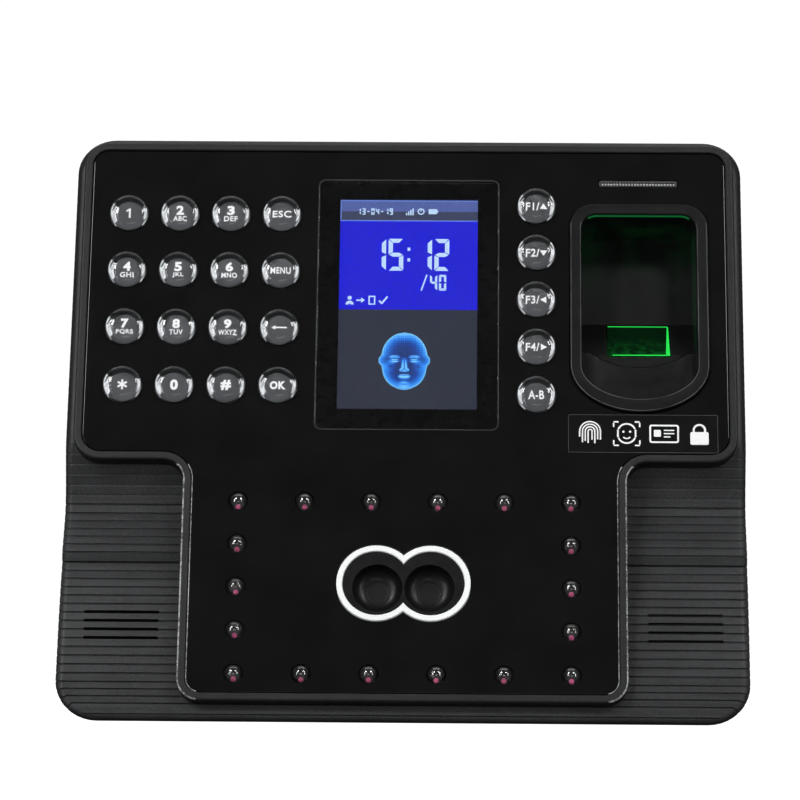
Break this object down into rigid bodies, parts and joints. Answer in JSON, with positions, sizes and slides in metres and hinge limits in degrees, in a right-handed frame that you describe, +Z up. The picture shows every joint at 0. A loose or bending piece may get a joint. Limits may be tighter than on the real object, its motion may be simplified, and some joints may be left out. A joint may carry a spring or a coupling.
{
  "type": "fingerprint scanner terminal",
  "caption": "Wedge-shaped wall or desk terminal that reads a finger or a face: domed keypad, colour display, lit finger well, twin cameras in a ring of infra-red lamps.",
  "frame": {"origin": "middle of the bounding box on the base that the terminal stands on", "axes": "+Z up, +X to the right of a person facing the terminal, +Y into its depth towards the wall"},
  "size_m": [0.1936, 0.086, 0.1687],
  "materials": {
    "housing": "fine spark-eroded charcoal plastic, ribbed on the wings",
    "panel": "glossy black acrylic",
    "display_lens": "clear hard-coated window",
    "display": "lit colour display",
    "silicone": "matt grey silicone",
    "board": "green solder mask",
    "light_pipe": "moulded prismatic light guide",
    "well": "fine matt black plastic",
    "prism": "polished glass lit green",
    "black_plastic": "moulded black plastic",
    "ring": "white trim",
    "camera_window": "glossy dark window",
    "lamp": "clear epoxy",
    "speaker": "paper cone in a black frame",
    "shield": "tinned steel",
    "terminal": "green moulded plastic",
    "plate": "zinc-plated steel sheet",
    "screw": "zinc-plated steel",
    "key_clear": "clear acrylic dome over a grey disc"
  },
  "bodies": {
    "housing": {"front_bezel": "housing", "front_panel": "panel", "display_lens": "display_lens", "lcd_module": "display", "keypad_mat_left": "silicone", "keypad_mat_right": "silicone", "keypad_board_left": "board", "keypad_board_right": "board", "status_light_pipe": "light_pipe", "status_light_board": "board", "fingerprint_bezel": "well", "fingerprint_prism": "prism", "fingerprint_sensor_module": "black_plastic", "camera_ring": "ring", "camera_window": "camera_window", "camera_module_left": "black_plastic", "camera_module_right": "black_plastic", "camera_board": "board", "infrared_lamp_board": "lamp", "speaker": "speaker", "rear_shell": "housing", "main_board": "board", "ethernet_jack": "shield", "usb_port": "shield", "power_jack": "black_plastic", "lock_terminal_block": "terminal", "bus_terminal_block": "terminal", "clock_cell": "shield", "tamper_switch": "black_plastic", "wall_plate": "plate", "lock_screw": "screw", "case_screw_1": "screw", "case_screw_2": "screw", "case_screw_3": "screw", "case_screw_4": "screw"},
    "key_1": {"key_1": "key_clear"},
    "key_2": {"key_2": "key_clear"},
    "key_3": {"key_3": "key_clear"},
    "key_escape": {"key_escape": "key_clear"},
    "key_4": {"key_4": "key_clear"},
    "key_5": {"key_5": "key_clear"},
    "key_6": {"key_6": "key_clear"},
    "key_menu": {"key_menu": "key_clear"},
    "key_7": {"key_7": "key_clear"},
    "key_8": {"key_8": "key_clear"},
    "key_9": {"key_9": "key_clear"},
    "key_back": {"key_back": "key_clear"},
    "key_star": {"key_star": "key_clear"},
    "key_0": {"key_0": "key_clear"},
    "key_hash": {"key_hash": "key_clear"},
    "key_ok": {"key_ok": "key_clear"},
    "key_f1": {"key_f1": "key_clear"},
    "key_f2": {"key_f2": "key_clear"},
    "key_f3": {"key_f3": "key_clear"},
    "key_f4": {"key_f4": "key_clear"},
    "key_letters": {"key_letters": "key_clear"},
    "tamper_plunger": {"tamper_plunger": "black_plastic"}
  },
  "joints": [
    {"name": "key_1_press", "type": "slide", "parent": "housing", "child": "key_1", "axis": [0, 0.9397, -0.342], "range_m": [0, 0.0006], "stiffness_N_per_m": 400},
    {"name": "key_2_press", "type": "slide", "parent": "housing", "child": "key_2", "axis": [0, 0.9397, -0.342], "range_m": [0, 0.0006], "stiffness_N_per_m": 400},
    {"name": "key_3_press", "type": "slide", "parent": "housing", "child": "key_3", "axis": [0, 0.9397, -0.342], "range_m": [0, 0.0006], "stiffness_N_per_m": 400},
    {"name": "key_escape_press", "type": "slide", "parent": "housing", "child": "key_escape", "axis": [0, 0.9397, -0.342], "range_m": [0, 0.0006], "stiffness_N_per_m": 400},
    {"name": "key_4_press", "type": "slide", "parent": "housing", "child": "key_4", "axis": [0, 0.9397, -0.342], "range_m": [0, 0.0006], "stiffness_N_per_m": 400},
    {"name": "key_5_press", "type": "slide", "parent": "housing", "child": "key_5", "axis": [0, 0.9397, -0.342], "range_m": [0, 0.0006], "stiffness_N_per_m": 400},
    {"name": "key_6_press", "type": "slide", "parent": "housing", "child": "key_6", "axis": [0, 0.9397, -0.342], "range_m": [0, 0.0006], "stiffness_N_per_m": 400},
    {"name": "key_menu_press", "type": "slide", "parent": "housing", "child": "key_menu", "axis": [0, 0.9397, -0.342], "range_m": [0, 0.0006], "stiffness_N_per_m": 400},
    {"name": "key_7_press", "type": "slide", "parent": "housing", "child": "key_7", "axis": [0, 0.9397, -0.342], "range_m": [0, 0.0006], "stiffness_N_per_m": 400},
    {"name": "key_8_press", "type": "slide", "parent": "housing", "child": "key_8", "axis": [0, 0.9397, -0.342], "range_m": [0, 0.0006], "stiffness_N_per_m": 400},
    {"name": "key_9_press", "type": "slide", "parent": "housing", "child": "key_9", "axis": [0, 0.9397, -0.342], "range_m": [0, 0.0006], "stiffness_N_per_m": 400},
    {"name": "key_back_press", "type": "slide", "parent": "housing", "child": "key_back", "axis": [0, 0.9397, -0.342], "range_m": [0, 0.0006], "stiffness_N_per_m": 400},
    {"name": "key_star_press", "type": "slide", "parent": "housing", "child": "key_star", "axis": [0, 0.9397, -0.342], "range_m": [0, 0.0006], "stiffness_N_per_m": 400},
    {"name": "key_0_press", "type": "slide", "parent": "housing", "child": "key_0", "axis": [0, 0.9397, -0.342], "range_m": [0, 0.0006], "stiffness_N_per_m": 400},
    {"name": "key_hash_press", "type": "slide", "parent": "housing", "child": "key_hash", "axis": [0, 0.9397, -0.342], "range_m": [0, 0.0006], "stiffness_N_per_m": 400},
    {"name": "key_ok_press", "type": "slide", "parent": "housing", "child": "key_ok", "axis": [0, 0.9397, -0.342], "range_m": [0, 0.0006], "stiffness_N_per_m": 400},
    {"name": "key_f1_press", "type": "slide", "parent": "housing", "child": "key_f1", "axis": [0, 0.9397, -0.342], "range_m": [0, 0.0006], "stiffness_N_per_m": 400},
    {"name": "key_f2_press", "type": "slide", "parent": "housing", "child": "key_f2", "axis": [0, 0.9397, -0.342], "range_m": [0, 0.0006], "stiffness_N_per_m": 400},
    {"name": "key_f3_press", "type": "slide", "parent": "housing", "child": "key_f3", "axis": [0, 0.9397, -0.342], "range_m": [0, 0.0006], "stiffness_N_per_m": 400},
    {"name": "key_f4_press", "type": "slide", "parent": "housing", "child": "key_f4", "axis": [0, 0.9397, -0.342], "range_m": [0, 0.0006], "stiffness_N_per_m": 400},
    {"name": "key_letters_press", "type": "slide", "parent": "housing", "child": "key_letters", "axis": [0, 0.9397, -0.342], "range_m": [0, 0.0006], "stiffness_N_per_m": 400},
    {"name": "tamper_press", "type": "slide", "parent": "housing", "child": "tamper_plunger", "axis": [0, -1, 0], "range_m": [0, 0.001], "stiffness_N_per_m": 300}
  ]
}
